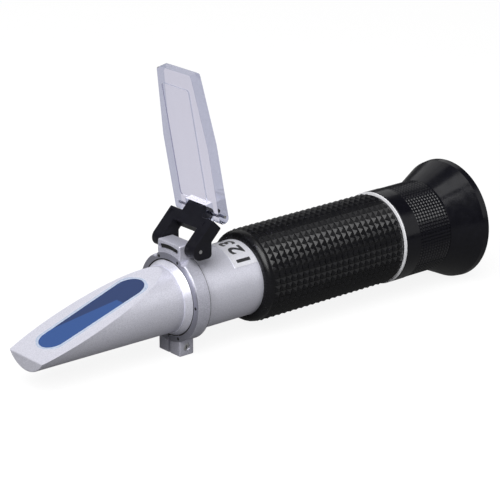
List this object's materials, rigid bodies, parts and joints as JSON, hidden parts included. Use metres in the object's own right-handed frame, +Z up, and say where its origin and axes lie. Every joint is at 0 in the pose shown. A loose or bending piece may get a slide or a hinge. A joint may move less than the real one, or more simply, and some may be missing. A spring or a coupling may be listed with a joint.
{
  "type": "handheld refractometer",
  "caption": "Handheld optical refractometer: slanted prism body, hinged clear cover plate, clamp collar, ribbed rubber grip, focusing eyepiece and flared eyecup.",
  "frame": {"origin": "on the optical axis in the throat of the eyecup, where the cup's flare starts", "axes": "+X along the optical axis towards the eye, the prism towards -X, +Z up through the cover's hinge"},
  "size_m": [0.1723, 0.0398, 0.0912],
  "materials": {
    "housing_metal": "bead-blasted, clear anodised",
    "collar_metal": "bead-blasted, clear anodised",
    "tube_metal": "satin, clear anodised",
    "prism_glass": "polished, blue coated",
    "sealant": "matt",
    "label": "satin film",
    "trim": "bright",
    "grip_rubber": "moulded pyramids",
    "ring_black": "satin, knurled behind",
    "cup_black": "satin",
    "bracket_black": "satin moulding",
    "clear_plate": "clear acrylic moulding",
    "steel": "machined",
    "brass": "plain",
    "inner_black": "black anodised",
    "lens_glass": "coated"
  },
  "bodies": {
    "barrel": {"prism_housing": "housing_metal", "main_prism": "prism_glass", "prism_seal": "sealant", "clamp_collar": "collar_metal", "clamp_screw": "steel", "housing_grub_screws": "steel", "main_tube": "tube_metal", "scale_label": "label", "lens_cell": "inner_black", "objective_lens": "lens_glass", "cell_retainer": "inner_black", "compensator_strip": "brass", "strip_block": "inner_black", "strip_screw": "steel", "calibration_bush": "tube_metal", "light_baffle": "inner_black", "reticle_holder": "inner_black", "scale_reticle": "lens_glass", "reticle_retainer": "inner_black", "grip_sleeve": "grip_rubber", "trim_ring": "trim", "guide_sleeve": "inner_black", "friction_ring": "grip_rubber", "guide_key": "steel"},
    "bracket": {"hinge_bracket": "bracket_black", "hinge_pin": "steel"},
    "plate": {"cover_plate": "clear_plate", "cover_pin": "steel"},
    "calibration": {"calibration_screw": "steel"},
    "eyepiece_slide": {"eyepiece_tube": "inner_black", "field_lens": "lens_glass", "lens_spacer": "inner_black", "eye_lens": "lens_glass", "lens_retainer": "inner_black"},
    "focus": {"focus_ring": "ring_black", "capture_ring": "inner_black", "eyecup": "cup_black"}
  },
  "joints": [
    {"name": "cover_hinge", "type": "hinge", "parent": "barrel", "child": "bracket", "pos_m": [-0.1016, 0, 0.0163], "axis": [0, -1, 0], "range_deg": [0, 153.77]},
    {"name": "plate_pivot", "type": "hinge", "parent": "bracket", "child": "plate", "pos_m": [-0.0924, 0, 0.0255], "axis": [0, -1, 0], "range_deg": [-56.58, 0]},
    {"name": "calibration_turn", "type": "hinge", "parent": "barrel", "child": "calibration", "pos_m": [-0.0978, 0, 0.01], "axis": [0, 0, 1], "range_deg": [-180, 180]},
    {"name": "focus_travel", "type": "slide", "parent": "barrel", "child": "eyepiece_slide", "axis": [1, 0, 0], "range_m": [0, 0.00375]},
    {"name": "focus_turn", "type": "hinge", "parent": "eyepiece_slide", "child": "focus", "pos_m": [-0.01, 0, 0], "axis": [1, 0, 0], "range_deg": [0, 270]}
  ],
  "couplings": [
    {"joint": "plate_pivot", "follows": "cover_hinge", "ratio": -0.36789},
    {"joint": "focus_travel", "follows": "focus_turn", "m_per_rad": 0.00079577}
  ]
}
